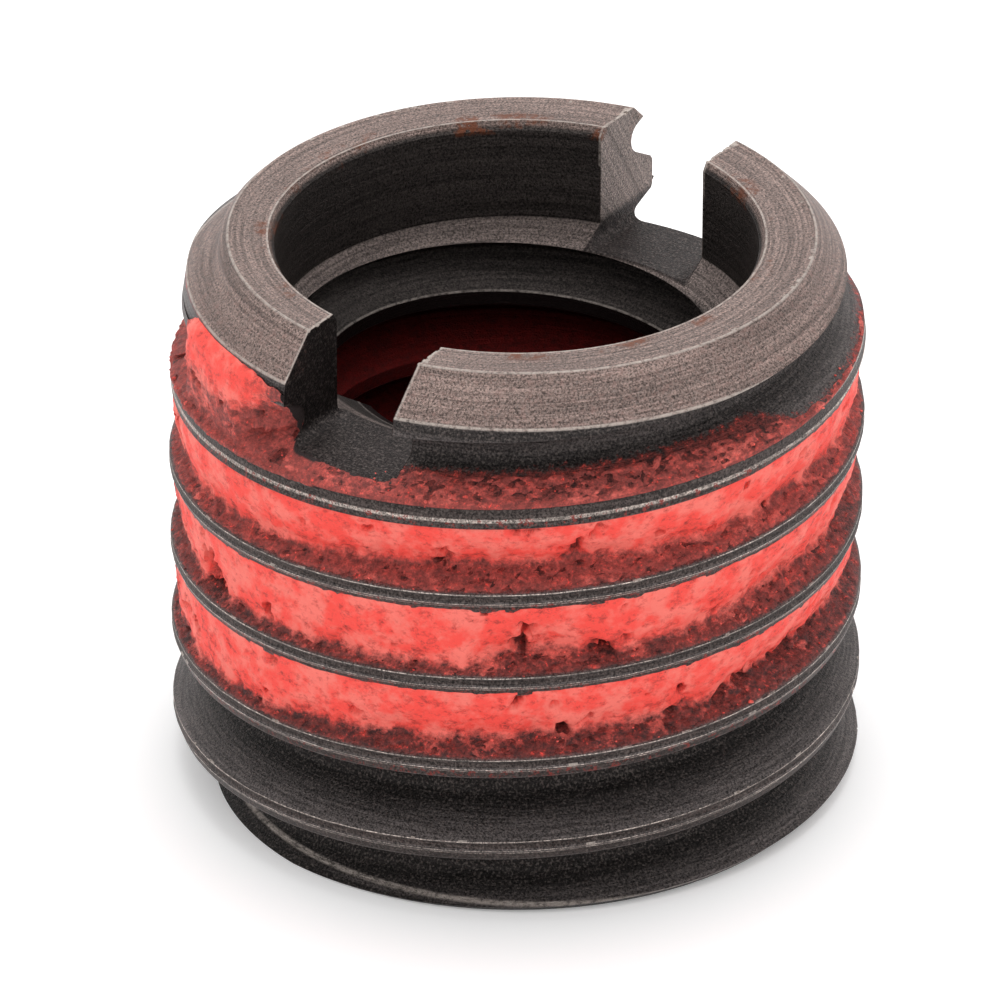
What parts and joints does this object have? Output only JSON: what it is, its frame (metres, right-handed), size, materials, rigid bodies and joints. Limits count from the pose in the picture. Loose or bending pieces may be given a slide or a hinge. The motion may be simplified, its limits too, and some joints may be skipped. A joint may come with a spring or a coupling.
{
  "type": "threaded insert",
  "caption": "Short black steel sleeve, threaded outside and inside, with a driving slot across its end and dried red locking compound in its outer grooves.",
  "frame": {"origin": "on the axis, in the plane of the bottom face that goes into the hole first", "axes": "+Z along the axis, out of the slotted face; +X along the drive slot"},
  "size_m": [0.0188, 0.0188, 0.0159],
  "materials": {
    "black_oxide_steel": "turned and milled steel with a matt black-oxide coat, worn brighter on its edges",
    "dried_locking_compound": "dried pre-applied acrylic locking compound, matt and lumpy, with a ragged edge"
  },
  "bodies": {
    "root": {"insert_body": "black_oxide_steel", "locking_compound": "dried_locking_compound"}
  },
  "joints": []
}
